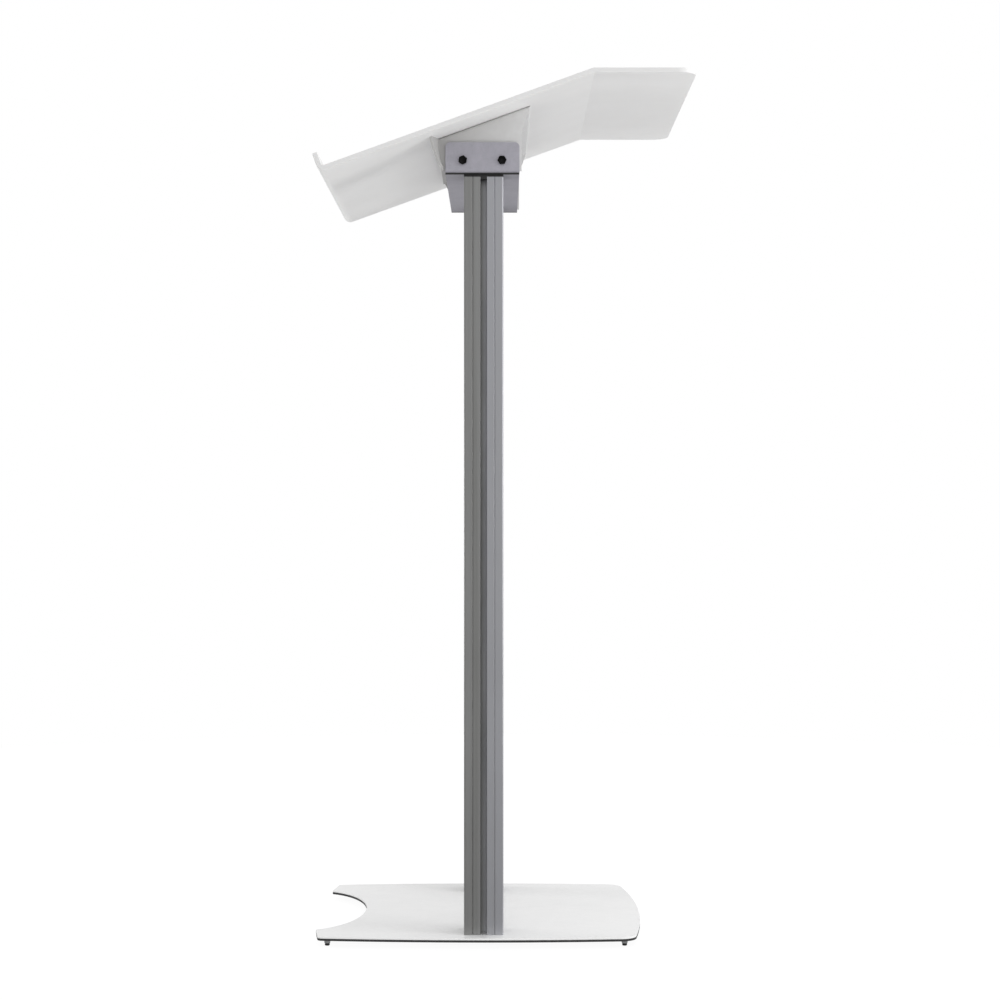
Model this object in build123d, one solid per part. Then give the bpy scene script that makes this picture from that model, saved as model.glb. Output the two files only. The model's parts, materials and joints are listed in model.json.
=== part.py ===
from build123d import *
from math import cos, hypot, radians, sin, tan
import os

# Lectern stand, in millimetres. +Z is up and +X points to the audience, so the speaker
# stands on the -X side with the -Y side at the right hand. Everything is drawn about the
# vertical line midway between the two posts. At the end it moves so that the origin is on
# the floor, under the middle of the whole stand's outline.

# Base
base_width = 408.0  # widest, in line with the posts
base_to_speaker = 223.1  # from the posts' line to the speaker's edge, if it had no notch
base_to_audience = 207.0  # from the posts' line to the crown of the audience's edge
side_bow_speaker = 12.0  # how far each side edge comes in at the speaker's end
side_bow_audience = 9.0  # and at the audience's end
speaker_bow = 13.7  # how far the speaker's edge stands out in the middle, if it had no notch
audience_bow = 16.0  # and the audience's edge
base_corner_radius = 22.0
horn_corner_radius = 7.0
notch_depth = 63.6  # from the same unnotched edge
notch_half_width = 150.0  # of the ellipse that the notch is part of
notch_half_length = 80.0
plate_thickness = 3.0
cover_thickness = 2.0
edge_break = 0.4

# Levelling feet
foot_to_speaker = 198.0  # from the posts' line
foot_to_audience = 178.5
foot_spacing_y = 360.0
bush_diameter = 7.6
bush_shank_diameter = 6.6
bush_drop = 5.0  # below the base plate
stud_diameter = 5.0
stud_engaged = 7.4  # inside the bush with the foot screwed in
stud_clearance = 0.05
tip_diameter = 6.2
tip_height = 2.8
tip_gap = 0.2  # between the screwed-in tip and its bush
stud_in_tip = 1.6
tip_rounding = 0.9

# Posts: square extrusion with a slot in each face
post_size = 50.0
post_length = 960.4
post_corner_radius = 1.8
post_spacing_y = 310.0
slot_opening = 8.3
slot_lip = 4.5
slot_chamber = 16.5
slot_chamber_straight = 4.0
slot_depth = 14.0
slot_floor = 7.4
groove_offset = 13.9
groove_width = 1.5
groove_depth = 0.8
channel_offset = 17.2
channel_diameter = 6.0
cap_thickness = 3.2
cap_tongue = 3.0
cap_lip_seat = 4.0  # how far the lip lies over the cap, in a rebate along the saddle's bend
cap_lip_reach = 3.2  # past the post's outer face
cap_lip_thickness = 1.4
lip_clearance = 0.1
tongue_clearance = 0.2

# Screws in the posts' cores
core_screw_diameter = 8.0
core_screw_depth = 24.0
core_head_diameter = 1.75 * core_screw_diameter
core_head_height = 0.55 * core_screw_diameter
core_socket = 0.625 * core_screw_diameter
core_washer_diameter = 2.25 * core_screw_diameter
core_washer_thickness = 1.6
button_rounding = 0.6  # of the head's height
socket_depth = 0.55  # of the head's height
hole_clearance = 0.25  # on the radius, for screws that pass through
thread_clearance = 0.02
dowel_length = 14.0

# Saddle, bent from one strip
saddle_sheet = 3.0
saddle_width = 93.6
saddle_offset = -1.6
saddle_height = 39.8
saddle_overhang = 4.0  # past the posts' outer faces, each side
saddle_bend_inside = 1.0
ear_corner_radius = 6.0
ear_bolt_spacing = 49.6
ear_bolt_height = 17.1

# Desk, folded from one sheet
desk_slope = 19.85
desk_width = 500.0
desk_sheet = 6.0
desk_rise = 62.7  # from the saddle's web to the desk's underside, on the posts' line
desk_to_speaker = 203.4
desk_to_fold = 137.4
desk_to_audience = 264.7
lip_height = 18.5  # above the reading surface
lip_thickness = 6.4
bend_inside = 3.0
shelf_corner_radius = 23.0
lip_corner_radius = 4.0
desk_edge_radius = 0.8

# Cradle between the saddle's ears
cradle_sheet = 3.0
cradle_bend_inside = 1.0
cradle_to_speaker = 60.0  # along the desk's underside
cradle_to_audience = 59.0
cheek_to_speaker = 53.0  # where the cheek's edge is upright
cheek_to_audience = 48.0
cheek_bottom_gap = 1.0
cheek_upright_audience = 52.4  # height above the saddle's web where the slanted edge starts
cheek_upright_speaker = 5.2
cheek_bulge = 2.4
left_cheek_trim = 5.2  # how much further in the left cheek's speaker's edge is, below its top corner
left_cheek_hollow = 3.4
wing_reach = 40.0
wing_flare = 8.0
cable_hole_diameter = 30.0

# Fasteners at the head
ear_bolt_diameter = 6.0
ear_bolt_head_flats = 5 / 3 * ear_bolt_diameter
ear_bolt_head_height = 2 / 3 * ear_bolt_diameter
ear_bolt_corners = 1.12 * ear_bolt_head_flats  # diameter that the corners are turned to
ear_bolt_chamfer = 0.1 * ear_bolt_diameter
ear_bolt_spare = 3.4  # thread past the nut
ear_washer_diameter = 2 * ear_bolt_diameter
ear_washer_thickness = 1.6
ear_nut_height = 5 / 6 * ear_bolt_diameter
desk_screw_diameter = 5.0
desk_screw_head = 2 * desk_screw_diameter
desk_screw_spare = 2.0  # thread past the nut
desk_screw_socket = 0.6 * desk_screw_diameter
desk_screw_socket_depth = 0.35 * desk_screw_diameter
desk_screw_along = 40.0
desk_screw_across = 120.0
desk_washer_diameter = 2 * desk_screw_diameter
desk_washer_thickness = 1.0
desk_nut_flats = 1.6 * desk_screw_diameter
desk_nut_height = 0.8 * desk_screw_diameter

# Heights above the floor
plate_bottom = tip_height + tip_gap + bush_drop
cover_bottom = plate_bottom + plate_thickness
post_bottom = cover_bottom + cover_thickness
post_top = post_bottom + post_length
saddle_bottom = post_top + cap_thickness
web_top = saddle_bottom + saddle_sheet
ear_bolt_z = saddle_bottom + ear_bolt_height
desk_height = web_top + desk_rise

# Places across the stand
post_y = post_spacing_y / 2
ear_outside = post_y + post_size / 2 + saddle_overhang
ear_inside = ear_outside - saddle_sheet
cheek_inside = ear_inside - cradle_sheet
ear_bolt_x = [saddle_offset - ear_bolt_spacing / 2, saddle_offset + ear_bolt_spacing / 2]

slope_tan = tan(radians(desk_slope))
far = 1000.0  # larger than any piece, for cutting tools
overcut = 1.0  # how far a cutting tool goes past a face


def desk_underside(x):
    """Height of the sloping underside of the desk at x."""
    return desk_height + slope_tan * x


def at_posts(solid):
    """The same solid at both posts."""
    return [Pos(0, side * post_y, 0) * solid for side in (-1, 1)]


def on_slope(x, y):
    """A place on the desk's underside, its z axis square to the sheet."""
    return Pos(x, y, desk_underside(x)) * Rot(0, -desk_slope, 0)


def upright(low, high, radius):
    """A round bar along Z."""
    return Pos(0, 0, low) * Cylinder(radius, high - low, align=(Align.CENTER, Align.CENTER, Align.MIN))


def hexagon(flats, height):
    """A six-sided prism standing on the XY plane."""
    return extrude(RegularPolygon(flats / 2, 6, major_radius=False), height)


def base_outline():
    """Plan of the base: four bowed edges, with a notch for the speaker's toes."""
    half = base_width / 2
    horn = speaker_bow - base_to_speaker
    corner = base_to_audience - audience_bow
    speaker_half = half - side_bow_speaker
    audience_half = half - side_bow_audience
    edges = [
        ThreePointArc((horn, speaker_half), (-base_to_speaker, 0), (horn, -speaker_half)),
        ThreePointArc((horn, -speaker_half), (0, -half), (corner, -audience_half)),
        ThreePointArc((corner, -audience_half), (base_to_audience, 0), (corner, audience_half)),
        ThreePointArc((corner, audience_half), (0, half), (horn, speaker_half)),
    ]
    outline = make_face(Wire(edges))
    notch_centre = notch_depth - base_to_speaker - notch_half_length
    outline -= Pos(notch_centre, 0) * Ellipse(notch_half_length, notch_half_width)
    audience_corners = outline.vertices().sort_by(Axis.X)[-2:]
    outline = fillet(audience_corners, base_corner_radius)
    speaker_corners = outline.vertices().filter_by(lambda v: v.X < 0).sort_by(Axis.Y)
    return fillet([speaker_corners[0], speaker_corners[-1]], horn_corner_radius)


def base_holes(screw_radius, dowel_radius):
    """What passes through a base sheet under both posts."""
    height = (plate_bottom - overcut, post_bottom + overcut)
    tools = at_posts(upright(*height, screw_radius))
    for x, y in dowel_places():
        tools.append(Pos(x, y, 0) * upright(*height, dowel_radius))
    return tools


def dowel_places():
    """Two opposite corner channels of each post."""
    return [
        (sign * channel_offset, side * (post_y + sign * channel_offset))
        for side in (-1, 1)
        for sign in (-1, 1)
    ]


def foot_places():
    """Name and place of each levelling foot."""
    half = foot_spacing_y / 2
    return {
        "speaker_right": (-foot_to_speaker, -half),
        "speaker_left": (-foot_to_speaker, half),
        "audience_right": (foot_to_audience, -half),
        "audience_left": (foot_to_audience, half),
    }


def base_plate():
    """Steel plate that everything stands on."""
    plate = extrude(Pos(0, 0, plate_bottom) * base_outline(), plate_thickness)
    plate = chamfer(plate.faces().sort_by(Axis.Z)[0].outer_wire().edges(), edge_break)
    plate -= base_holes(core_screw_diameter / 2 + hole_clearance, channel_diameter / 2)
    for x, y in foot_places().values():
        plate -= Pos(x, y, 0) * upright(plate_bottom - overcut, cover_bottom + overcut, bush_shank_diameter / 2)
    return plate


def base_cover():
    """White sheet bonded on the plate."""
    cover = extrude(Pos(0, 0, cover_bottom) * base_outline(), cover_thickness)
    cover = chamfer(cover.faces().sort_by(Axis.Z)[-1].outer_wire().edges(), edge_break)
    return cover - base_holes(core_screw_diameter / 2 + hole_clearance, channel_diameter / 2)


def foot_bushes():
    """Threaded bushes pressed into the plate from below."""
    collar = upright(plate_bottom - bush_drop, plate_bottom, bush_diameter / 2)
    collar = chamfer(collar.edges().sort_by(Axis.Z)[0], edge_break)
    shank = upright(plate_bottom, cover_bottom, bush_shank_diameter / 2)
    bore = upright(plate_bottom - bush_drop - overcut, cover_bottom + overcut, stud_diameter / 2 + stud_clearance)
    bush = collar + shank - bore
    return [Pos(x, y, 0) * bush for x, y in foot_places().values()]


def foot_stud():
    """Threaded stud of a foot, screwed fully in."""
    low = tip_height - stud_in_tip
    high = plate_bottom - bush_drop + stud_engaged
    stud = upright(low, high, stud_diameter / 2)
    return chamfer(stud.edges().group_by(Axis.Z)[-1], edge_break)


def foot_tip():
    """Rubber tip moulded on the stud's lower end."""
    tip = upright(0, tip_height, tip_diameter / 2)
    tip = fillet(tip.edges().group_by(Axis.Z)[0], tip_rounding)
    return tip - upright(tip_height - stud_in_tip, tip_height + overcut, stud_diameter / 2)


def slot_shape():
    """Section of the slot in the face at +Y of a post centred on the origin."""
    face = post_size / 2
    lip = face - slot_lip
    floor = face - slot_depth
    right = [
        (slot_opening / 2, face + overcut),
        (slot_opening / 2, lip),
        (slot_chamber / 2, lip),
        (slot_chamber / 2, lip - slot_chamber_straight),
        (slot_floor / 2, floor),
    ]
    left = [(-x, y) for x, y in reversed(right)]
    return make_face(Polyline(*right, *left, close=True))


def groove_shape(x):
    """Shallow V groove in the same face."""
    face = post_size / 2
    half = groove_width / 2
    return make_face(Polyline((x - half, face), (x, face - groove_depth), (x + half, face), close=True))


def post_section():
    """Section of the extrusion: four slots, eight grooves, a core and four channels."""
    section = RectangleRounded(post_size, post_size, post_corner_radius)
    cuts = [slot_shape(), groove_shape(groove_offset), groove_shape(-groove_offset)]
    for turn in range(4):
        section -= [Rot(0, 0, 90 * turn) * cut for cut in cuts]
    section -= Circle(core_screw_diameter / 2 + thread_clearance)
    for x in (-channel_offset, channel_offset):
        for y in (-channel_offset, channel_offset):
            section -= Pos(x, y) * Circle(channel_diameter / 2)
    return section


def post():
    """One post, standing on the base's cover."""
    return extrude(Pos(0, 0, post_bottom) * post_section(), post_length)


def post_cap():
    """Black end piece with a tongue in each slot, and a lip at -Y along the saddle's bend."""
    face = RectangleRounded(post_size, post_size, post_corner_radius)
    cap = extrude(Pos(0, 0, post_top) * face, cap_thickness)
    cap += Pos(saddle_offset, -post_size / 2 - cap_lip_reach, saddle_bottom) * Box(
        saddle_width,
        cap_lip_reach + cap_lip_seat,
        cap_lip_thickness,
        align=(Align.CENTER, Align.MIN, Align.MIN),
    )
    width = slot_opening - 2 * tongue_clearance
    reach = slot_lip - tongue_clearance
    tongue = Pos(0, post_size / 2 - reach / 2, post_top - cap_tongue / 2) * Box(width, reach, cap_tongue)
    for turn in range(4):
        cap += Rot(0, 0, 90 * turn) * tongue
    return cap - upright(post_top - overcut, saddle_bottom + overcut, core_screw_diameter / 2 + hole_clearance)


def socket_screw(diameter, length, head_diameter, head_height, socket):
    """Button-head screw with its head above the XY plane and its shank below."""
    shank = upright(-length, 0, diameter / 2)
    head = upright(0, head_height, head_diameter / 2)
    head = fillet(head.edges().group_by(Axis.Z)[-1], head_height * button_rounding)
    return shank + head - Pos(0, 0, head_height * (1 - socket_depth)) * hexagon(socket, head_height)


def washer(outside, inside, thickness):
    """Flat ring on the XY plane."""
    return extrude(Circle(outside / 2) - Circle(inside / 2), thickness)


def core_screw(reach):
    """Screw that goes through a washer and `reach` of other pieces into a post's core."""
    length = core_washer_thickness + reach + core_screw_depth
    return socket_screw(core_screw_diameter, length, core_head_diameter, core_head_height, core_socket)


def base_screws():
    """One screw up into each post."""
    screw = core_screw(plate_thickness + cover_thickness)
    return at_posts(Pos(0, 0, plate_bottom - core_washer_thickness) * Rot(180, 0, 0) * screw)


def base_washers():
    """Under the heads of the base screws."""
    ring = washer(core_washer_diameter, core_screw_diameter + 2 * hole_clearance, core_washer_thickness)
    return at_posts(Pos(0, 0, plate_bottom - core_washer_thickness) * ring)


def base_dowels():
    """Pins that stop the posts turning on the base."""
    pin = upright(plate_bottom, plate_bottom + dowel_length, channel_diameter / 2)
    pin = chamfer(pin.edges().group_by(Axis.Z)[-1], edge_break)
    return [Pos(x, y, 0) * pin for x, y in dowel_places()]


def saddle_screws():
    """One screw down into each post."""
    screw = core_screw(saddle_sheet + cap_thickness)
    return at_posts(Pos(0, 0, web_top + core_washer_thickness) * screw)


def saddle_washers():
    """Under the heads of the saddle screws."""
    ring = washer(core_washer_diameter, core_screw_diameter + 2 * hole_clearance, core_washer_thickness)
    return at_posts(Pos(0, 0, web_top) * ring)


def across_y(radius):
    """Bars along Y through every ear bolt's place."""
    bar = Rot(90, 0, 0) * Cylinder(radius, 2 * far)
    return [Pos(x, 0, ear_bolt_z) * bar for x in ear_bolt_x]


def saddle():
    """Strip bent up into an ear at each end."""
    low = saddle_bottom
    high = saddle_bottom + saddle_height
    centre = Pos(saddle_offset, 0, (low + high) / 2)
    body = centre * Box(saddle_width, 2 * ear_outside, saddle_height)
    outer = body.edges().filter_by(Axis.X).group_by(Axis.Z)[0]
    body = fillet(outer, saddle_bend_inside + saddle_sheet)
    hollow = Pos(saddle_offset, 0, web_top) * Box(
        saddle_width + 2 * overcut, 2 * ear_inside, saddle_height, align=(Align.CENTER, Align.CENTER, Align.MIN)
    )
    hollow = fillet(hollow.edges().filter_by(Axis.X).group_by(Axis.Z)[0], saddle_bend_inside)
    body -= hollow
    tops = body.edges().filter_by(Axis.Y).group_by(Axis.Z)[-1]
    body = fillet(tops, ear_corner_radius)
    body -= across_y(ear_bolt_diameter / 2 + hole_clearance)
    body -= at_posts(upright(low - overcut, web_top + overcut, core_screw_diameter / 2 + hole_clearance))
    rebate = lip_rebate()
    return body - rebate - mirror(rebate, Plane.XZ)


def lip_rebate():
    """Space for the right cap's lip along the saddle's bend."""
    inner = post_y + post_size / 2 - cap_lip_seat - lip_clearance
    height = cap_lip_thickness + lip_clearance + overcut
    corner = Pos(saddle_offset, -inner, saddle_bottom - overcut)
    return corner * Box(saddle_width + 2 * overcut, far, height, align=(Align.CENTER, Align.MAX, Align.MIN))


def speaker_edge(shift):
    """The cheek's edge on the speaker's side, moved along X: upright below, curved above."""
    foot = (shift - cheek_to_speaker, web_top + cheek_bottom_gap)
    knee = (shift - cheek_to_speaker, web_top + cheek_upright_speaker)
    top = (shift - cradle_to_speaker, desk_underside(-cradle_to_speaker))
    middle = ((knee[0] + top[0]) / 2 - cheek_bulge, (knee[1] + top[1]) / 2)
    return foot, knee, middle, top


def edge_band():
    """Section of the sheet along the cheek's speaker's edge."""
    foot, knee, middle, top = speaker_edge(0)
    foot_in, knee_in, middle_in, top_in = speaker_edge(cradle_sheet)
    return make_face(
        Wire(
            [
                Line(foot, knee),
                ThreePointArc(knee, middle, top),
                Line(top, top_in),
                ThreePointArc(top_in, middle_in, knee_in),
                Line(knee_in, foot_in),
                Line(foot_in, foot),
            ]
        )
    )


def cheek_outline():
    """Side view of the cradle, up to the desk's underside."""
    bottom = web_top + cheek_bottom_gap
    foot, knee, middle, top = speaker_edge(0)
    slant = web_top + cheek_upright_audience
    points = [
        top,
        (cradle_to_audience, desk_underside(cradle_to_audience)),
        (cheek_to_audience, slant),
        (cheek_to_audience, bottom),
        foot,
        knee,
    ]
    return make_face(Wire([*Polyline(*points).edges(), ThreePointArc(knee, middle, top)]))


def wing():
    """Curved wing that flares out from the right cheek under the desk."""
    band = Plane.XZ * edge_band()
    reach = hypot(wing_reach, wing_flare)
    flared = Pos(0, -cheek_inside, 0) * extrude(band, reach, dir=(-wing_flare, -wing_reach, 0))
    low = web_top
    high = desk_underside(-cradle_to_speaker)
    edge = cheek_inside + wing_reach
    keep = make_face(
        Polyline(
            (-cheek_inside, low),
            (-cheek_inside, high + far),
            (-edge, high + far),
            (-edge, high),
            (-ear_inside, low),
            close=True,
        )
    )
    return flared & extrude(Plane.YZ * keep, far, both=True)


def left_cheek_cut():
    """What the left cheek lacks along its speaker's edge, which no wing continues."""
    foot, _, _, top = speaker_edge(0)
    low = (foot[0] + left_cheek_trim, web_top)
    middle = ((low[0] + top[0]) / 2 + left_cheek_hollow, (low[1] + top[1]) / 2)
    beyond = top[0] - overcut
    edges = [ThreePointArc(low, middle, top), *Polyline(top, (beyond, top[1]), (beyond, low[1]), low).edges()]
    cut = extrude(Plane.XZ * make_face(Wire(edges)), -cradle_sheet - overcut)
    return Pos(0, cheek_inside, 0) * cut


def below_desk():
    """Everything under the plane of the desk's underside."""
    return on_slope(0, 0) * Box(far, far, far, align=(Align.CENTER, Align.CENTER, Align.MAX))


def desk_screw_places():
    """Where the screws pass through the desk and the cradle."""
    return [
        on_slope(x, y)
        for x in (-desk_screw_along, desk_screw_along)
        for y in (-desk_screw_across, desk_screw_across)
    ]


def cradle():
    """Folded sheet under the desk with a cheek at each side, and a wing on the right cheek."""
    body = extrude(Plane.XZ * cheek_outline(), ear_inside, both=True)
    up_the_slope = Axis((0, 0, 0), (1, 0, slope_tan))
    body = fillet(body.edges().filter_by(up_the_slope), cradle_bend_inside + cradle_sheet)
    inside = Box(far, 2 * cheek_inside, far, align=(Align.CENTER, Align.CENTER, Align.MAX))
    inside = fillet(inside.edges().filter_by(Axis.X).group_by(Axis.Z)[-1], cradle_bend_inside)
    body -= on_slope(0, 0) * Pos(0, 0, -cradle_sheet) * inside
    body -= left_cheek_cut()
    body += wing() & below_desk()
    body -= across_y(ear_bolt_diameter / 2 + hole_clearance)
    for place in desk_screw_places():
        body -= place * upright(-cradle_sheet - overcut, overcut, desk_screw_diameter / 2 + hole_clearance)
    body -= on_slope(0, 0) * upright(-cradle_sheet - overcut, overcut, cable_hole_diameter / 2)
    return body


def at_ear_bolts(solid):
    """A solid drawn along -Z from the ear's outer face, at all four ear bolts."""
    placed = []
    for x in ear_bolt_x:
        for side in (-1, 1):
            placed.append(Pos(x, side * ear_outside, ear_bolt_z) * Rot(-90 * side, 0, 0) * solid)
    return placed


def ear_nut_depth():
    """From an ear's outer face to the far side of its nuts."""
    return saddle_sheet + cradle_sheet + ear_washer_thickness + ear_nut_height


def ear_bolts():
    """Hexagon bolts through the ears and cheeks, heads outside."""
    head = hexagon(ear_bolt_head_flats, ear_bolt_head_height)
    head &= chamfer(
        upright(0, ear_bolt_head_height, ear_bolt_corners / 2).edges().group_by(Axis.Z)[-1], ear_bolt_chamfer
    )
    length = ear_nut_depth() + ear_bolt_spare
    shank = upright(-length, 0, ear_bolt_diameter / 2)
    shank = chamfer(shank.edges().group_by(Axis.Z)[0], ear_bolt_chamfer)
    return at_ear_bolts(head + shank)


def ear_washers():
    """Against the cheeks' inner faces."""
    depth = saddle_sheet + cradle_sheet + ear_washer_thickness
    ring = washer(ear_washer_diameter, ear_bolt_diameter + 2 * hole_clearance, ear_washer_thickness)
    return at_ear_bolts(Pos(0, 0, -depth) * ring)


def ear_nuts():
    """Nuts on the ear bolts."""
    nut = hexagon(ear_bolt_head_flats, ear_nut_height)
    nut -= upright(-overcut, ear_nut_height + overcut, ear_bolt_diameter / 2 + thread_clearance)
    return at_ear_bolts(Pos(0, 0, -ear_nut_depth()) * nut)


def desk_section():
    """Side view of the folded sheet."""
    along = (cos(radians(desk_slope)), sin(radians(desk_slope)))
    square = (-along[1], along[0])
    corner = (-desk_to_speaker, desk_underside(-desk_to_speaker))

    def from_corner(u, w):
        return (corner[0] + u * along[0] + w * square[0], corner[1] + u * along[1] + w * square[1])

    fold = (desk_to_fold, desk_underside(desk_to_fold))
    fold_top = (desk_to_fold - desk_sheet * tan(radians(desk_slope / 2)), fold[1] + desk_sheet)
    lip_top = desk_sheet + lip_height
    points = [
        corner,
        fold,
        (desk_to_audience, fold[1]),
        (desk_to_audience, fold[1] + desk_sheet),
        fold_top,
        from_corner(lip_thickness, desk_sheet),
        from_corner(lip_thickness, lip_top),
        from_corner(0, lip_top),
    ]
    section = make_face(Polyline(*points, close=True))

    def round_at(shape, point, radius):
        return fillet(shape.vertices().sort_by_distance(point)[0], radius)

    section = round_at(section, points[0], bend_inside + desk_sheet)
    section = round_at(section, points[5], bend_inside)
    section = round_at(section, points[1], bend_inside)
    return round_at(section, points[4], bend_inside + desk_sheet)


def desk():
    """The reading desk with its lip and flat shelf."""
    sheet = extrude(Plane.XZ * desk_section(), desk_width / 2, both=True)
    shelf_corners = sheet.edges().filter_by(Axis.Z).group_by(Axis.X)[-1]
    sheet = fillet(shelf_corners, shelf_corner_radius)
    top_corners = sheet.edges().filter_by(Axis((0, 0, 0), (1, 0, slope_tan)))
    top_corners = [e for e in top_corners if e.length < 2 * lip_thickness]
    sheet = fillet(top_corners, lip_corner_radius)
    outline = sheet.faces().sort_by(Axis.Y)[0].outer_wire()
    sheet = fillet(outline.edges(), desk_edge_radius)  # runs on round the corners and the far side
    for place in desk_screw_places():
        sheet -= place * desk_screw_hole()
    return sheet


def desk_screw_hole():
    """Countersunk hole, drawn up from the desk's underside."""
    radius = desk_screw_diameter / 2 + hole_clearance
    head = desk_screw_head / 2 + hole_clearance
    hole = upright(-overcut, desk_sheet + overcut, radius)
    cone = Pos(0, 0, desk_sheet - (head - radius) / 2) * Cone(radius, head, head - radius)
    return hole + cone


def desk_nut_depth():
    """From the desk's underside to the far side of a desk nut."""
    return cradle_sheet + desk_washer_thickness + desk_nut_height


def desk_screw():
    """Countersunk screw with its head flush with the reading surface."""
    radius = desk_screw_diameter / 2
    head = desk_screw_head / 2
    drop = head - radius
    shank = upright(-desk_nut_depth() - desk_screw_spare, desk_sheet - drop / 2, radius)
    cone = Pos(0, 0, desk_sheet - drop / 2) * Cone(radius, head, drop)
    socket = Pos(0, 0, desk_sheet - desk_screw_socket_depth) * hexagon(desk_screw_socket, drop)
    return shank + cone - socket


def desk_screws():
    """All the screws that hold the desk on the cradle."""
    return [place * desk_screw() for place in desk_screw_places()]


def desk_washers():
    """Under the cradle's top."""
    ring = washer(desk_washer_diameter, desk_screw_diameter + 2 * hole_clearance, desk_washer_thickness)
    depth = cradle_sheet + desk_washer_thickness
    return [place * Pos(0, 0, -depth) * ring for place in desk_screw_places()]


def desk_nuts():
    """Nuts on the desk screws."""
    nut = hexagon(desk_nut_flats, desk_nut_height)
    nut -= upright(-overcut, desk_nut_height + overcut, desk_screw_diameter / 2 + thread_clearance)
    return [place * Pos(0, 0, -desk_nut_depth()) * nut for place in desk_screw_places()]


def all_nodes():
    """Every piece by its name."""
    right, left = at_posts(post())
    right_cap = Pos(0, -post_y, 0) * post_cap()
    nodes = {
        "base_plate": base_plate(),
        "base_cover": base_cover(),
        "foot_bushes": foot_bushes(),
        "base_screws": base_screws(),
        "base_washers": base_washers(),
        "base_dowels": base_dowels(),
        "post_right": right,
        "post_left": left,
        "post_cap_right": right_cap,
        "post_cap_left": mirror(right_cap, Plane.XZ),
        "saddle_screws": saddle_screws(),
        "saddle_washers": saddle_washers(),
        "saddle": saddle(),
        "cradle": cradle(),
        "ear_bolts": ear_bolts(),
        "ear_washers": ear_washers(),
        "ear_nuts": ear_nuts(),
        "desk": desk(),
        "desk_screws": desk_screws(),
        "desk_washers": desk_washers(),
        "desk_nuts": desk_nuts(),
    }
    for name, (x, y) in foot_places().items():
        nodes["foot_stud_" + name] = Pos(x, y, 0) * foot_stud()
        nodes["foot_tip_" + name] = Pos(x, y, 0) * foot_tip()
    return nodes


os.makedirs("parts", exist_ok=True)
nodes = all_nodes()
boxes = [nodes[name].bounding_box() for name in ("base_plate", "desk")]
middle = (min(box.min.X for box in boxes) + max(box.max.X for box in boxes)) / 2
to_origin = Pos(-middle, 0, 0)
for name, shape in nodes.items():
    solids = shape if isinstance(shape, list) else [shape]
    placed = [to_origin * solid for solid in solids]
    export_step(placed[0] if len(placed) == 1 else Compound(children=placed), f"parts/{name}.step")
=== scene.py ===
import json
import math

import bmesh
import bpy
from mathutils import Matrix, Vector


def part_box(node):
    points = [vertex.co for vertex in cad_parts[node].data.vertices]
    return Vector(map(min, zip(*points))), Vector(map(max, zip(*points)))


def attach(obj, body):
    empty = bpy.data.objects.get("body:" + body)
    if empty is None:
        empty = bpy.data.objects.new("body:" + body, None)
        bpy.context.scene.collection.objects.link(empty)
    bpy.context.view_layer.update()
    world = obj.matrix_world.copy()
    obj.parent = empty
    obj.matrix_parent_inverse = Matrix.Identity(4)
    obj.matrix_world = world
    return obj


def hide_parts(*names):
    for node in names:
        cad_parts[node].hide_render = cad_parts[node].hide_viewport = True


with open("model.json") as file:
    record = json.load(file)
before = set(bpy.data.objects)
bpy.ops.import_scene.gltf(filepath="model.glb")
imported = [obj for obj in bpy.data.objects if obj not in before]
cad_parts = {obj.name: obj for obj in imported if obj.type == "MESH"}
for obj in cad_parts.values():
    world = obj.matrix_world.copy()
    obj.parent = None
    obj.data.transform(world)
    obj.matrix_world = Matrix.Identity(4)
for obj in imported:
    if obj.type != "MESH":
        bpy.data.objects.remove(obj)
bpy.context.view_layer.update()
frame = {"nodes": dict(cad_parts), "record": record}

# Lectern stand, in metres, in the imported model's own frame: +X to the audience, +Z up, and the
# speaker's right hand on the -Y side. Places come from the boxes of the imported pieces.
STAND = "stand"
FEET = ("speaker_right", "speaker_left", "audience_right", "audience_left")
post_low, post_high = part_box("post_right")
cover_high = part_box("base_cover")[1]
post_line = (post_low.x + post_high.x) / 2
base_top = cover_high.z
mm = 0.001


# ---------------------------------------------------------------------------
# Camera, floor and light
# ---------------------------------------------------------------------------

camera_distance = 2.786  # from the near post's outer face
camera_side = 0.0194  # towards the audience from the posts' line
camera_height = 0.5408  # above the base
sensor_width = 36.0
focal_length = 79.2
shift_across = 0.001
shift_up = 0.008
far_clip = 100.0
floor_radius = 2.4
floor_sides = 128
floor_fade_start = 0.7  # from here out the floor brightens into the backdrop
floor_fade_end = 0.8 * floor_radius
floor_in_reflections = 0.33  # brightness that glossy faces see, in place of the floor's own
floor_tone = 0.05
floor_glow = 0.95
surround_level = 0.515  # strength of the surround at eye level
surround_overhead = 1.06
surround_below = 0.45  # share of the level strength that is left low down
surround_speaker = 0.70  # share of it on the speaker's side
surround_audience = 1.30
lights = (  # name, place, aim, side and power
    ("key", (3.0, -1.2, 1.6), (0, 0, 0.8), 1.8, 18),
    ("audience_fill", (1.15, -0.55, 0.60), (0.1, -0.2, 1.25), 0.45, 4),
    ("speaker_fill", (-1.25, 0.35, 0.50), (0.0, 0.0, 1.0), 0.4, 5),
)


def make_camera():
    """Level camera that looks at the speaker's right-hand side."""
    data = bpy.data.cameras.new("side_camera")
    data.sensor_width = sensor_width
    data.lens = focal_length
    data.shift_x = shift_across
    data.shift_y = shift_up
    data.clip_end = far_clip
    camera = bpy.data.objects.new("side_camera", data)
    camera.location = (post_line + camera_side, post_low.y - camera_distance, base_top + camera_height)
    camera.rotation_euler = (math.radians(90), 0, 0)
    bpy.context.scene.collection.objects.link(camera)
    bpy.context.scene.camera = camera


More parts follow.
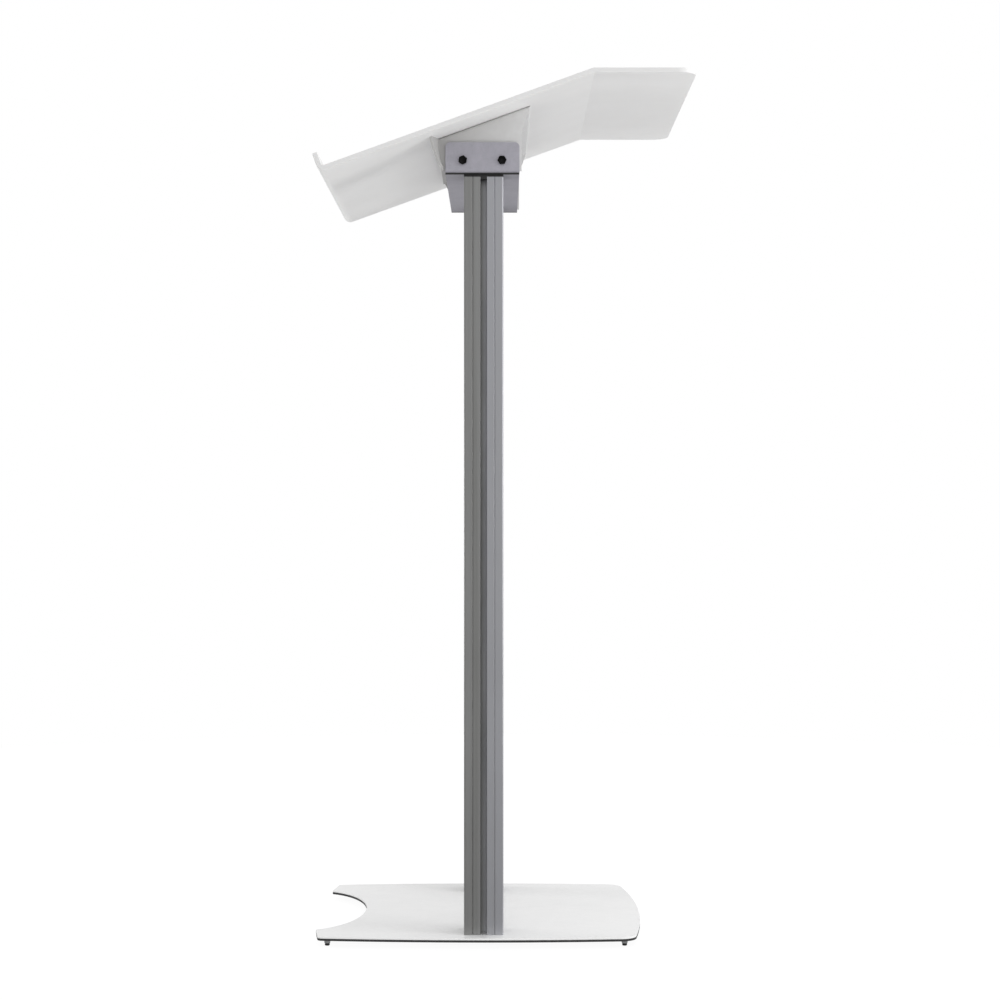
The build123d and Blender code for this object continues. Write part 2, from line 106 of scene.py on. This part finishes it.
def area_light(name, place, aim, side, power):
    """Soft square light aimed at a point."""
    data = bpy.data.lights.new(name, "AREA")
    data.shape = "SQUARE"
    data.size = side
    data.energy = power
    light = bpy.data.objects.new(name, data)
    light.location = place
    light.rotation_mode = "QUATERNION"
    light.rotation_quaternion = (Vector(aim) - Vector(place)).to_track_quat("-Z", "Y")
    bpy.context.scene.collection.objects.link(light)


# ---------------------------------------------------------------------------
# Short ways to build shader nodes
# ---------------------------------------------------------------------------


class Graph:
    """One shader tree and short ways to add to it."""

    def __init__(self, tree):
        self.tree = tree

    def put(self, socket, value):
        """Link a socket, or set its value."""
        if isinstance(value, bpy.types.NodeSocket):
            self.tree.links.new(value, socket)
        else:
            socket.default_value = value

    def add(self, kind, inputs=None, **settings):
        """A node with its settings, and its inputs linked or set."""
        node = self.tree.nodes.new("ShaderNode" + kind)
        for name, value in settings.items():
            setattr(node, name, value)
        for socket, value in (inputs or {}).items():
            self.put(node.inputs[socket], value)
        return node

    def math(self, operation, first, second=0.0, clamp=False):
        node = self.add("Math", {0: first, 1: second}, operation=operation, use_clamp=clamp)
        return node.outputs[0]

    def spread(self, value, low, high, to_low=0.0, to_high=1.0):
        """The value's range low to high, spread to another range and held there."""
        sockets = {"Value": value, "From Min": low, "From Max": high, "To Min": to_low, "To Max": to_high}
        return self.add("MapRange", sockets).outputs["Result"]

    def blend(self, amount, first, second, how="MIX"):
        """Two colours mixed by an amount."""
        node = self.add("Mix", {"Factor": amount}, data_type="RGBA", blend_type=how)
        self.put(node.inputs[6], first)
        self.put(node.inputs[7], second)
        return node.outputs[2]

    def place(self, scale=(1, 1, 1), turn=(0, 0, 0)):
        """Points on the surface in the stand's own frame, scaled and turned."""
        where = self.add("TexCoord").outputs["Object"]
        return self.add("Mapping", {"Vector": where, "Scale": scale, "Rotation": turn}).outputs["Vector"]

    def noise(self, where, scale, detail=2.0, roughness=0.5):
        sockets = {"Vector": where, "Scale": scale, "Detail": detail, "Roughness": roughness}
        return self.add("TexNoise", sockets).outputs["Fac"]

    def group(self, tree, inputs=None):
        """Outputs of a placed group."""
        node = self.tree.nodes.new("ShaderNodeGroup")
        node.node_tree = tree
        for socket, value in (inputs or {}).items():
            self.put(node.inputs[socket], value)
        return node.outputs


def new_group(name, inputs, outputs):
    """An empty group with named number inputs and named outputs."""
    tree = bpy.data.node_groups.new(name, "ShaderNodeTree")
    for label, value in inputs.items():
        socket = tree.interface.new_socket(label, in_out="INPUT", socket_type="NodeSocketFloat")
        socket.default_value = value
    for label, kind in outputs.items():
        tree.interface.new_socket(label, in_out="OUTPUT", socket_type="NodeSocket" + kind)
    given = tree.nodes.new("NodeGroupInput").outputs
    made = tree.nodes.new("NodeGroupOutput").inputs
    return Graph(tree), given, made


# ---------------------------------------------------------------------------
# Effects that several finishes share
# ---------------------------------------------------------------------------


def make_soft_edges():
    """Slightly rounded corners, and a mask of where they are."""
    graph, given, made = new_group("soft_edges", {"Radius": 0.4 * mm}, {"Normal": "Vector", "Edge": "Float"})
    rounded = graph.add("Bevel", {"Radius": given["Radius"]}, samples=6).outputs["Normal"]
    plain = graph.add("NewGeometry").outputs["Normal"]
    agree = graph.add("VectorMath", {0: rounded, 1: plain}, operation="DOT_PRODUCT").outputs["Value"]
    graph.put(made["Normal"], rounded)
    graph.put(made["Edge"], graph.spread(agree, 0.995, 0.80))
    return graph.tree


def make_peel():
    """Orange peel of a sprayed or powder coat, with a slow unevenness under it."""
    graph, given, made = new_group("coat_peel", {"Size": 1.5 * mm}, {"Height": "Float", "Tone": "Float"})
    where = graph.place()
    fine = graph.noise(where, graph.math("DIVIDE", 1.0, given["Size"]), 2.0)
    slow = graph.noise(where, graph.math("DIVIDE", 0.08, given["Size"]), 3.0)
    graph.put(made["Height"], graph.math("ADD", fine, graph.math("MULTIPLY", slow, 2.0)))
    graph.put(made["Tone"], slow)
    return graph.tree


def make_handling():
    """Faint smears of handling, and hairline scratches in two directions."""
    graph, given, made = new_group(
        "handling", {"Smear Size": 90 * mm, "Scratch Length": 30 * mm}, {"Smear": "Float", "Scratch": "Float"}
    )
    smear = graph.noise(graph.place(), graph.math("DIVIDE", 1.0, given["Smear Size"]), 5.0, 0.6)
    graph.put(made["Smear"], graph.spread(smear, 0.42, 0.66))
    along = graph.math("DIVIDE", 1.0, given["Scratch Length"])
    marks = []
    for turn in ((0.2, 0.5, 0.7), (0.9, 0.1, -0.4)):
        lines = graph.noise(graph.place((1, 40, 40), turn), along, 1.0)
        marks.append(graph.spread(lines, 0.735, 0.76))
    graph.put(made["Scratch"], graph.math("MAXIMUM", *marks))
    return graph.tree


def make_drawn_lines():
    """Fine lines and broad tone bands along Z, as a die leaves them on a drawn bar."""
    graph, given, made = new_group(
        "drawn_lines", {"Line Width": 0.25 * mm, "Band Width": 14 * mm}, {"Line": "Float", "Band": "Float"}
    )
    fine = graph.noise(graph.place((1, 1, 0.004)), graph.math("DIVIDE", 1.0, given["Line Width"]), 3.0, 0.7)
    band = graph.noise(graph.place((1, 1, 0.01)), graph.math("DIVIDE", 1.0, given["Band Width"]), 1.0)
    graph.put(made["Line"], graph.spread(fine, 0.3, 0.7))
    graph.put(made["Band"], graph.spread(band, 0.35, 0.65))
    return graph.tree


def make_flakes():
    """Small cells with a tone each, as metallic flake or a fine grain gives."""
    graph, given, made = new_group("flakes", {"Size": 0.4 * mm}, {"Tone": "Float"})
    scale = graph.math("DIVIDE", 1.0, given["Size"])
    cells = graph.add("TexVoronoi", {"Vector": graph.place(), "Scale": scale})
    graph.put(made["Tone"], graph.add("SeparateColor", {"Color": cells.outputs["Color"]}).outputs["Red"])
    return graph.tree


def make_dust():
    """Thin patchy dust on faces that look up."""
    graph, given, made = new_group("dust", {"Patch Size": 60 * mm}, {"Dust": "Float"})
    normal = graph.add("NewGeometry").outputs["Normal"]
    up = graph.add("SeparateXYZ", {"Vector": normal}).outputs["Z"]
    patch = graph.noise(graph.place(), graph.math("DIVIDE", 1.0, given["Patch Size"]), 6.0, 0.65)
    settled = graph.math("MULTIPLY", graph.spread(up, 0.6, 1.0), graph.spread(patch, 0.35, 0.75))
    graph.put(made["Dust"], settled)
    return graph.tree


soft_edges = make_soft_edges()
coat_peel = make_peel()
handling = make_handling()
drawn_lines = make_drawn_lines()
flakes = make_flakes()
dust = make_dust()


# ---------------------------------------------------------------------------
# Finishes
# ---------------------------------------------------------------------------


def new_finish(name, **constants):
    """A material with its Principled shader, and constants set on the shader's own sockets."""
    material = bpy.data.materials.new(name)
    material.use_nodes = True
    shader = material.node_tree.nodes["Principled BSDF"]
    for socket, value in constants.items():
        shader.inputs[socket.replace("_", " ")].default_value = value
    return material, Graph(material.node_tree), shader


def grey(value, warm=0.0):
    """A near neutral colour, a little warm or cool."""
    return (value * (1 + warm), value, value * (1 - warm), 1)


def relief(graph, shader, height, depth, normal):
    """A small relief over the rounded corners."""
    bump = graph.add("Bump", {"Height": height, "Distance": depth, "Normal": normal, "Strength": 1.0})
    graph.put(shader.inputs["Normal"], bump.outputs["Normal"])


def white_acrylic():
    """Opal acrylic: satin faces with a slight unevenness, smears, hairlines and polished edges."""
    depths = {"Subsurface_Weight": 0.08, "Subsurface_Scale": 4 * mm}
    material, graph, shader = new_finish("white_acrylic", IOR=1.49, **depths)
    shader.inputs["Subsurface Radius"].default_value = (1.0, 0.95, 0.9)
    edges = graph.group(soft_edges, {"Radius": 0.5 * mm})
    marks = graph.group(handling, {"Smear Size": 120 * mm, "Scratch Length": 45 * mm})
    peel = graph.group(coat_peel, {"Size": 4 * mm})
    settled = graph.group(dust, {"Patch Size": 90 * mm})["Dust"]
    body = graph.blend(peel["Tone"], grey(0.80, 0.006), grey(0.845, 0.002))
    body = graph.blend(graph.math("MULTIPLY", marks["Scratch"], 0.25), body, grey(0.66))
    body = graph.blend(graph.math("MULTIPLY", settled, 0.10), body, grey(0.62, 0.03))
    graph.put(shader.inputs["Base Color"], body)
    rough = graph.spread(marks["Smear"], 0.0, 1.0, 0.30, 0.42)
    rough = graph.math("ADD", rough, graph.math("MULTIPLY", marks["Scratch"], 0.15))
    rough = graph.math("SUBTRACT", rough, graph.math("MULTIPLY", edges["Edge"], 0.12))
    graph.put(shader.inputs["Roughness"], rough)
    relief(graph, shader, peel["Height"], 0.03 * mm, edges["Normal"])
    return material


# The cradle's coat carries painted shade: its colour darkens from the audience's end towards the speaker's
# end, where the desk's overhang shades it.
shade_to_speaker = 60 * mm  # from the posts' line, where the cradle's tone is darkest
shade_to_audience = 65 * mm  # and where it is back to its own
# The posts carry painted light and shade: the speaker's half is coloured darker and the audience's half
# lighter.
painted_half_blend = 3 * mm  # each side of the posts' line, where one half's tone turns into the other's


def powder_coat(name, light, dark, size, depth, rough, metallic=0.0, painted_speaker_shade=None):
    """Textured coat over bent sheet, thinner on its edges, and with painted shade darkening it towards the
    speaker's end if asked.
    """
    material, graph, shader = new_finish(name, Metallic=metallic, IOR=1.5)
    edges = graph.group(soft_edges, {"Radius": 0.6 * mm})
    peel = graph.group(coat_peel, {"Size": size})
    marks = graph.group(handling, {"Smear Size": 70 * mm, "Scratch Length": 20 * mm})
    settled = graph.group(dust, {"Patch Size": 40 * mm})["Dust"]
    body = graph.blend(graph.spread(peel["Tone"], 0.3, 0.7), dark, light)
    if metallic:
        tone = graph.group(flakes, {"Size": 0.35 * mm})["Tone"]
        body = graph.blend(graph.math("MULTIPLY", tone, 0.5), body, [c * 1.35 for c in light[:3]] + [1])
    # Painted shade: the colour is blended towards a darker tone at the speaker's end.
    if painted_speaker_shade:
        across = graph.add("SeparateXYZ", {"Vector": graph.add("TexCoord").outputs["Object"]}).outputs["X"]
        shade = graph.spread(across, post_line - shade_to_speaker, post_line + shade_to_audience, 1.0, 0.0)
        body = graph.blend(shade, body, painted_speaker_shade)
    body = graph.blend(graph.math("MULTIPLY", edges["Edge"], 0.35), body, light)
    body = graph.blend(graph.math("MULTIPLY", settled, 0.15), body, grey(0.55, 0.03))
    graph.put(shader.inputs["Base Color"], body)
    shine = graph.spread(marks["Smear"], 0.0, 1.0, rough - 0.05, rough + 0.08)
    shine = graph.math("SUBTRACT", shine, graph.math("MULTIPLY", marks["Scratch"], 0.10))
    graph.put(shader.inputs["Roughness"], shine)
    relief(graph, shader, peel["Height"], depth, edges["Normal"])
    return material


def white_sheet():
    """White coated cover: glossy clear layer, faint peel, shoe scuffs and dust."""
    material, graph, shader = new_finish("white_sheet", Coat_Roughness=0.12, IOR=1.5)
    edges = graph.group(soft_edges, {"Radius": 0.5 * mm})
    peel = graph.group(coat_peel, {"Size": 2.2 * mm})
    marks = graph.group(handling, {"Smear Size": 110 * mm, "Scratch Length": 25 * mm})
    settled = graph.group(dust, {"Patch Size": 50 * mm})["Dust"]
    body = graph.blend(peel["Tone"], grey(0.755), grey(0.80))
    body = graph.blend(graph.math("MULTIPLY", marks["Scratch"], 0.22), body, grey(0.55))
    body = graph.blend(graph.math("MULTIPLY", settled, 0.12), body, grey(0.58, 0.03))
    graph.put(shader.inputs["Base Color"], body)
    graph.put(shader.inputs["Roughness"], graph.spread(marks["Smear"], 0.0, 1.0, 0.32, 0.46))
    graph.put(shader.inputs["Coat Weight"], graph.spread(settled, 0.0, 1.0, 0.35, 0.15))
    relief(graph, shader, peel["Height"], 0.02 * mm, edges["Normal"])
    return material


def anodised():
    """Natural anodised extrusion: die lines, matt etch, bright corners, and painted light and shade that make
    the speaker's half darker and the audience's half lighter.
    """
    material, graph, shader = new_finish("anodised", Metallic=0.9, IOR=1.6)
    edges = graph.group(soft_edges, {"Radius": 0.35 * mm})
    drawn = graph.group(drawn_lines, {"Line Width": 0.3 * mm, "Band Width": 9 * mm})
    tone = graph.group(flakes, {"Size": 0.22 * mm})["Tone"]
    marks = graph.group(handling, {"Smear Size": 130 * mm, "Scratch Length": 35 * mm})
    # Painted light and shade: colour by X, darker on the speaker's half and lighter on the audience's half,
    # as the light falls from the audience's side.
    place = graph.add("SeparateXYZ", {"Vector": graph.add("TexCoord").outputs["Object"]}).outputs["X"]
    half = graph.spread(place, post_line - painted_half_blend, post_line + painted_half_blend)
    body = graph.blend(half, (0.25, 0.25, 0.243, 1), (0.45, 0.455, 0.49, 1))
    body = graph.blend(graph.math("MULTIPLY", drawn["Band"], 0.35), body, grey(0.42, -0.01))
    body = graph.blend(graph.math("MULTIPLY", drawn["Line"], 0.15), body, grey(0.50, -0.01))
    body = graph.blend(graph.math("MULTIPLY", tone, 0.12), body, grey(0.34))
    body = graph.blend(graph.math("MULTIPLY", edges["Edge"], 0.45), body, grey(0.66, -0.02))
    graph.put(shader.inputs["Base Color"], body)
    rough = graph.spread(marks["Smear"], 0.0, 1.0, 0.40, 0.50)
    rough = graph.math("ADD", rough, graph.math("MULTIPLY", drawn["Line"], 0.06))
    graph.put(shader.inputs["Roughness"], rough)
    grain = graph.math("ADD", drawn["Line"], graph.math("MULTIPLY", tone, 0.3))
    relief(graph, shader, grain, 0.006 * mm, edges["Normal"])
    return material


def dark_steel():
    """Dark satin coat on plate, worn thin along its cut edge."""
    material, graph, shader = new_finish("dark_steel", IOR=1.5)
    edges = graph.group(soft_edges, {"Radius": 0.5 * mm})
    peel = graph.group(coat_peel, {"Size": 1.0 * mm})
    marks = graph.group(handling, {"Smear Size": 60 * mm, "Scratch Length": 15 * mm})
    body = graph.blend(peel["Tone"], grey(0.018), grey(0.035))
    worn = graph.math("MULTIPLY", edges["Edge"], graph.spread(peel["Tone"], 0.45, 0.62, 0.1, 0.6))
    body = graph.blend(worn, body, grey(0.22))
    graph.put(shader.inputs["Base Color"], body)
    graph.put(shader.inputs["Metallic"], graph.math("MULTIPLY", worn, 0.8))
    graph.put(shader.inputs["Roughness"], graph.spread(marks["Smear"], 0.0, 1.0, 0.42, 0.58))
    relief(graph, shader, peel["Height"], 0.03 * mm, edges["Normal"])
    return material


def black_moulded(name, size, depth, rough):
    """Black moulded plastic or rubber with a fine spark grain and pale rubbed corners."""
    material, graph, shader = new_finish(name, IOR=1.48)
    edges = graph.group(soft_edges, {"Radius": 0.3 * mm})
    grain = graph.group(flakes, {"Size": size})["Tone"]
    peel = graph.group(coat_peel, {"Size": 3 * size})
    settled = graph.group(dust, {"Patch Size": 12 * mm})["Dust"]
    body = graph.blend(grain, grey(0.010), grey(0.020))
    body = graph.blend(graph.math("MULTIPLY", edges["Edge"], 0.4), body, grey(0.06))
    body = graph.blend(graph.math("MULTIPLY", settled, 0.2), body, grey(0.25, 0.03))
    graph.put(shader.inputs["Base Color"], body)
    graph.put(shader.inputs["Roughness"], graph.spread(peel["Tone"], 0.3, 0.7, rough - 0.07, rough + 0.07))
    relief(graph, shader, grain, depth, edges["Normal"])
    return material


def plated(name, dark, light, edge_tone, rough):
    """Turned or plated steel: cloudy plating, hairlines and rubbed corners."""
    material, graph, shader = new_finish(name, Metallic=1.0)
    edges = graph.group(soft_edges, {"Radius": 0.2 * mm})
    peel = graph.group(coat_peel, {"Size": 0.5 * mm})
    marks = graph.group(handling, {"Smear Size": 8 * mm, "Scratch Length": 4 * mm})
    grain = graph.group(flakes, {"Size": 0.12 * mm})["Tone"]
    body = graph.blend(graph.spread(peel["Tone"], 0.35, 0.65), dark, light)
    body = graph.blend(graph.math("MULTIPLY", grain, 0.15), body, dark)
    body = graph.blend(graph.math("MULTIPLY", edges["Edge"], 0.6), body, edge_tone)
    graph.put(shader.inputs["Base Color"], body)
    shine = graph.spread(marks["Smear"], 0.0, 1.0, rough, rough + 0.14)
    shine = graph.math("ADD", shine, graph.math("MULTIPLY", marks["Scratch"], 0.1))
    graph.put(shader.inputs["Roughness"], shine)
    relief(graph, shader, peel["Height"], 0.01 * mm, edges["Normal"])
    return material


finishes = {
    "white_acrylic": white_acrylic(),
    # The cradle's coat has painted shade towards the speaker's end.
    "white_coat": powder_coat(
        "white_coat", grey(0.76), grey(0.71, 0.004), 0.9 * mm, 0.04 * mm, 0.48, painted_speaker_shade=grey(0.46, 0.012)
    ),
    "grey_coat": powder_coat(
        "grey_coat", (0.42, 0.41, 0.46, 1), (0.36, 0.355, 0.395, 1), 0.7 * mm, 0.03 * mm, 0.42, metallic=0.45
    ),
    "white_sheet": white_sheet(),
    "anodised": anodised(),
    "dark_steel": dark_steel(),
    "black_plastic": black_moulded("black_plastic", 0.3 * mm, 0.02 * mm, 0.50),
    "tip_rubber": black_moulded("tip_rubber", 0.2 * mm, 0.03 * mm, 0.72),
    "black_oxide": plated("black_oxide", grey(0.008), grey(0.018), grey(0.07), 0.38),
    "zinc_plate": plated("zinc_plate", grey(0.48, -0.01), grey(0.60, -0.015), grey(0.75), 0.24),
}


# ---------------------------------------------------------------------------
# World and floor
# ---------------------------------------------------------------------------


def make_world():
    """Studio surround, brighter overhead and to the audience's side, with a white backdrop."""
    world = bpy.data.worlds.new("studio")
    bpy.context.scene.world = world
    world.use_nodes = True
    world.node_tree.nodes.clear()
    graph = Graph(world.node_tree)
    across = graph.add("SeparateXYZ", {"Vector": graph.add("TexCoord").outputs["Generated"]}).outputs
    above = graph.spread(across["Z"], 0.0, 0.5, surround_level, surround_overhead)
    level = graph.math("MULTIPLY", above, graph.spread(across["Z"], -0.25, 0.0, surround_below, 1.0))
    side = graph.spread(across["X"], -0.8, 0.8, surround_speaker, surround_audience)
    sides = graph.math("MULTIPLY", level, side)
    surround = graph.add("Background", {"Color": (1, 1, 1, 1), "Strength": sides})
    backdrop = graph.add("Background", {"Color": (1, 1, 1, 1), "Strength": 1.0})
    seen = graph.add("LightPath").outputs["Is Camera Ray"]
    mix = graph.add("MixShader", {0: seen, 1: surround.outputs[0], 2: backdrop.outputs[0]})
    graph.add("OutputWorld", {"Surface": mix.outputs[0]})


def make_floor():
    """Pale round floor that glows into the backdrop towards its rim, and is darker in reflections."""
    mesh = bpy.data.meshes.new("studio_floor")
    bm = bmesh.new()
    bmesh.ops.create_circle(bm, cap_ends=True, segments=floor_sides, radius=floor_radius)
    bm.to_mesh(mesh)
    bm.free()
    floor = bpy.data.objects.new("studio_floor", mesh)
    bpy.context.scene.collection.objects.link(floor)
    material, graph, shader = new_finish("studio_floor", Roughness=0.7, Specular_IOR_Level=0.1)
    where = graph.add("TexCoord").outputs["Object"]
    out = graph.add("VectorMath", {0: where}, operation="LENGTH").outputs["Value"]
    glow = graph.spread(out, floor_fade_start, floor_fade_end)
    graph.put(shader.inputs["Base Color"], graph.blend(glow, grey(floor_tone), grey(0.0)))
    shader.inputs["Emission Color"].default_value = (1, 1, 1, 1)
    graph.put(shader.inputs["Emission Strength"], graph.spread(glow, 0.0, 1.0, floor_glow, 1.0))
    mirrored = graph.add("Emission", {"Color": grey(floor_in_reflections)})
    mirrored_only = graph.add("LightPath").outputs["Is Glossy Ray"]
    both = graph.add("MixShader", {0: mirrored_only, 1: shader.outputs[0], 2: mirrored.outputs[0]})
    graph.put(material.node_tree.nodes["Material Output"].inputs["Surface"], both.outputs[0])
    mesh.materials.append(material)


# ---------------------------------------------------------------------------
# Turned and threaded pieces
# ---------------------------------------------------------------------------


def steady(radius, height):
    """A plain round ring."""
    return lambda angle: (radius, height)


def hexagon_radius(flats, angle):
    """Distance from the axis to a hexagon's side at an angle."""
    sixth = math.pi / 3
    return flats / 2 / math.cos(angle % sixth - sixth / 2)


def hexagon_ring(flats, height, crown, fall):
    """A ring round a hexagon, with its corners turned away from the face at `height`."""

    def at(angle):
        radius = hexagon_radius(flats, angle)
        return radius, height + fall * max(0.0, radius - crown)

    return at


def thread_rings(radius, pitch, low, high):
    """Rings of a right-hand thread that runs out at both ends."""
    depth = thread_depth * pitch
    rows = max(4, round((high - low) / pitch * thread_steps))

    def ring(row):
        height = low + (high - low) * row / rows
        ends = min(1.0, (height - low) / pitch, (high - height) / pitch)

        def at(angle):
            turn = (height / pitch - angle / (2 * math.pi)) % 1.0
            crest = min(1.0, 1.25 * (1 - abs(2 * turn - 1)))
            return radius - depth * (1 - crest * ends), height

        return at

    return [ring(row) for row in range(rows + 1)]


def turned_mesh(name, rings, hollow=False):
    """Closed mesh through rings along +Z, capped at its ends or joined into a ring."""
    mesh = bpy.data.meshes.new(name)
    bm = bmesh.new()
    loops = []
    for ring in rings:
        loop = []
        for step in range(turned_sides):
            angle = 2 * math.pi * step / turned_sides
            radius, height = ring(angle)
            loop.append(bm.verts.new((radius * math.cos(angle), radius * math.sin(angle), height)))
        loops.append(loop)
    pairs = list(zip(loops, loops[1:]))
    if hollow:
        pairs.append((loops[-1], loops[0]))
    else:
        bm.faces.new(list(reversed(loops[0])))
        bm.faces.new(loops[-1])
    for lower, upper in pairs:
        for step in range(turned_sides):
            after = (step + 1) % turned_sides
            bm.faces.new((lower[step], lower[after], upper[after], upper[step]))
    bmesh.ops.recalc_face_normals(bm, faces=bm.faces)
    bm.to_mesh(mesh)
    bm.free()
    mesh.shade_smooth()
    mesh.set_sharp_from_angle(angle=sharp_edge)
    return mesh


def place_piece(name, mesh, where, body, slot, *stands_for):
    """Put a piece on its body with its finish."""
    piece = bpy.data.objects.new(name, mesh.copy())
    piece.data.transform(where)
    piece.data.materials.append(finishes[slot])
    bpy.context.scene.collection.objects.link(piece)
    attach(piece, body)
    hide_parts(*stands_for)


turned_sides = 48
sharp_edge = math.radians(32)
crown_ratio = 0.47  # radius of a hexagon's turned face, to the distance across its flats
thread_steps = 6  # rings to each turn of a thread
thread_depth = 0.58  # of the pitch
stud_pitch = 0.8 * mm
bolt_radius = 3.0 * mm
bolt_pitch = 1.0 * mm
bolt_flats = 10.0 * mm
bolt_head = 4.0 * mm
bolt_thread = 12.0 * mm
bolt_turn = 0.37  # each bolt is turned this much further than the last
nut_turn = 0.9
bolt_seat = 0.35 * mm  # round face under the head
dish_depth = 0.25 * mm
dish_fall = 0.05 * mm  # further down at the dish's middle
dish_radii = (0.78, 0.66, 0.10)  # rim, foot and middle, to the crown's radius
nut_height = 5.0 * mm
nut_lead = 0.12  # countersink, to the bore's radius
corner_fall = math.tan(math.radians(30))


def bolt_mesh(length, threaded):
    """Hexagon bolt along -Z with its head's seat on the XY plane and a shallow dish in its top."""
    crown = crown_ratio * bolt_flats
    rim, foot, middle = (share * crown for share in dish_radii)
    rings = thread_rings(bolt_radius, bolt_pitch, -length, threaded - length)
    rings += [
        steady(bolt_radius, threaded - length + bolt_pitch),
        steady(bolt_radius, 0),
        steady(crown, 0),
        steady(crown, bolt_seat),
        hexagon_ring(bolt_flats, bolt_seat, crown, corner_fall / 2),
        hexagon_ring(bolt_flats, bolt_head, crown, -corner_fall),
        steady(crown, bolt_head),
        steady(rim, bolt_head),
        steady(foot, bolt_head - dish_depth),
        steady(middle, bolt_head - dish_depth - dish_fall),
    ]
    return turned_mesh("ear_bolt", rings)


def nut_mesh(radius, flats, height):
    """Hexagon nut on the XY plane, its corners turned on both sides and its bore countersunk."""
    crown = crown_ratio * flats
    lead = nut_lead * radius
    rings = [
        steady(radius + lead, 0),
        steady(radius, lead),
        steady(radius, height - lead),
        steady(radius + lead, height),
        steady(crown, height),
        hexagon_ring(flats, height, crown, -corner_fall),
        hexagon_ring(flats, 0, crown, corner_fall),
        steady(crown, 0),
    ]
    return turned_mesh("nut", rings, hollow=True)


def ear_fasteners():
    """Bolts and nuts through the ears and cheeks, each turned a little differently."""
    bolts_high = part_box("ear_bolts")[1]
    rings_low, rings_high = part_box("ear_washers")
    nuts_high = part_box("ear_nuts")[1]
    ear_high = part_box("saddle")[1]
    washer_radius = (rings_high.z - rings_low.z) / 2
    height = (rings_low.z + rings_high.z) / 2
    reach = (bolts_high.y - ear_high.y) - bolt_head
    length = ear_high.y - reach - bolt_tip_inside()
    bolt = bolt_mesh(length, bolt_thread)
    nut = nut_mesh(bolt_radius, bolt_flats, nut_height)
    count = 0
    for x in (rings_low.x + washer_radius, rings_high.x - washer_radius):
        for side in (-1, 1):
            count += 1
            outward = Matrix.Rotation(-side * math.pi / 2, 4, "X")
            turned = outward @ Matrix.Rotation(bolt_turn * count, 4, "Z")
            seat = Matrix.Translation((x, side * ear_high.y, height))
            place_piece(f"ear_bolt_{count}", bolt, seat @ turned, STAND, "black_oxide", "ear_bolts")
            back = Matrix.Translation((x, side * (nuts_high.y - nut_height), height))
            turned = outward @ Matrix.Rotation(nut_turn * count, 4, "Z")
            place_piece(f"ear_nut_{count}", nut, back @ turned, STAND, "black_oxide", "ear_nuts")


def bolt_tip_inside():
    """How far from the middle plane the ear bolts' tips are."""
    node = frame["nodes"]["ear_bolts"]
    return min(abs(vertex.co.y) for vertex in node.data.vertices)


def foot_studs():
    """Threaded studs of the levelling feet."""
    for place in FEET:
        low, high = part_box("foot_stud_" + place)
        radius = (high.x - low.x) / 2
        rings = thread_rings(radius, stud_pitch, low.z, high.z)
        mesh = turned_mesh("foot_stud", rings)
        where = Matrix.Translation(((low.x + high.x) / 2, (low.y + high.y) / 2, 0))
        name = "levelling_stud_" + place
        place_piece(name, mesh, where, "foot_" + place, "zinc_plate", "foot_stud_" + place)


def dress_nodes():
    """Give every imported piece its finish."""
    for part in frame["record"]["subparts"]:
        mesh = frame["nodes"][part["node"]].data
        mesh.materials.clear()
        mesh.materials.append(finishes[part["material_slot"]])


dress_nodes()
ear_fasteners()
foot_studs()
make_camera()
make_world()
make_floor()
for light in lights:
    area_light(*light)
bpy.context.scene.view_settings.view_transform = "Standard"
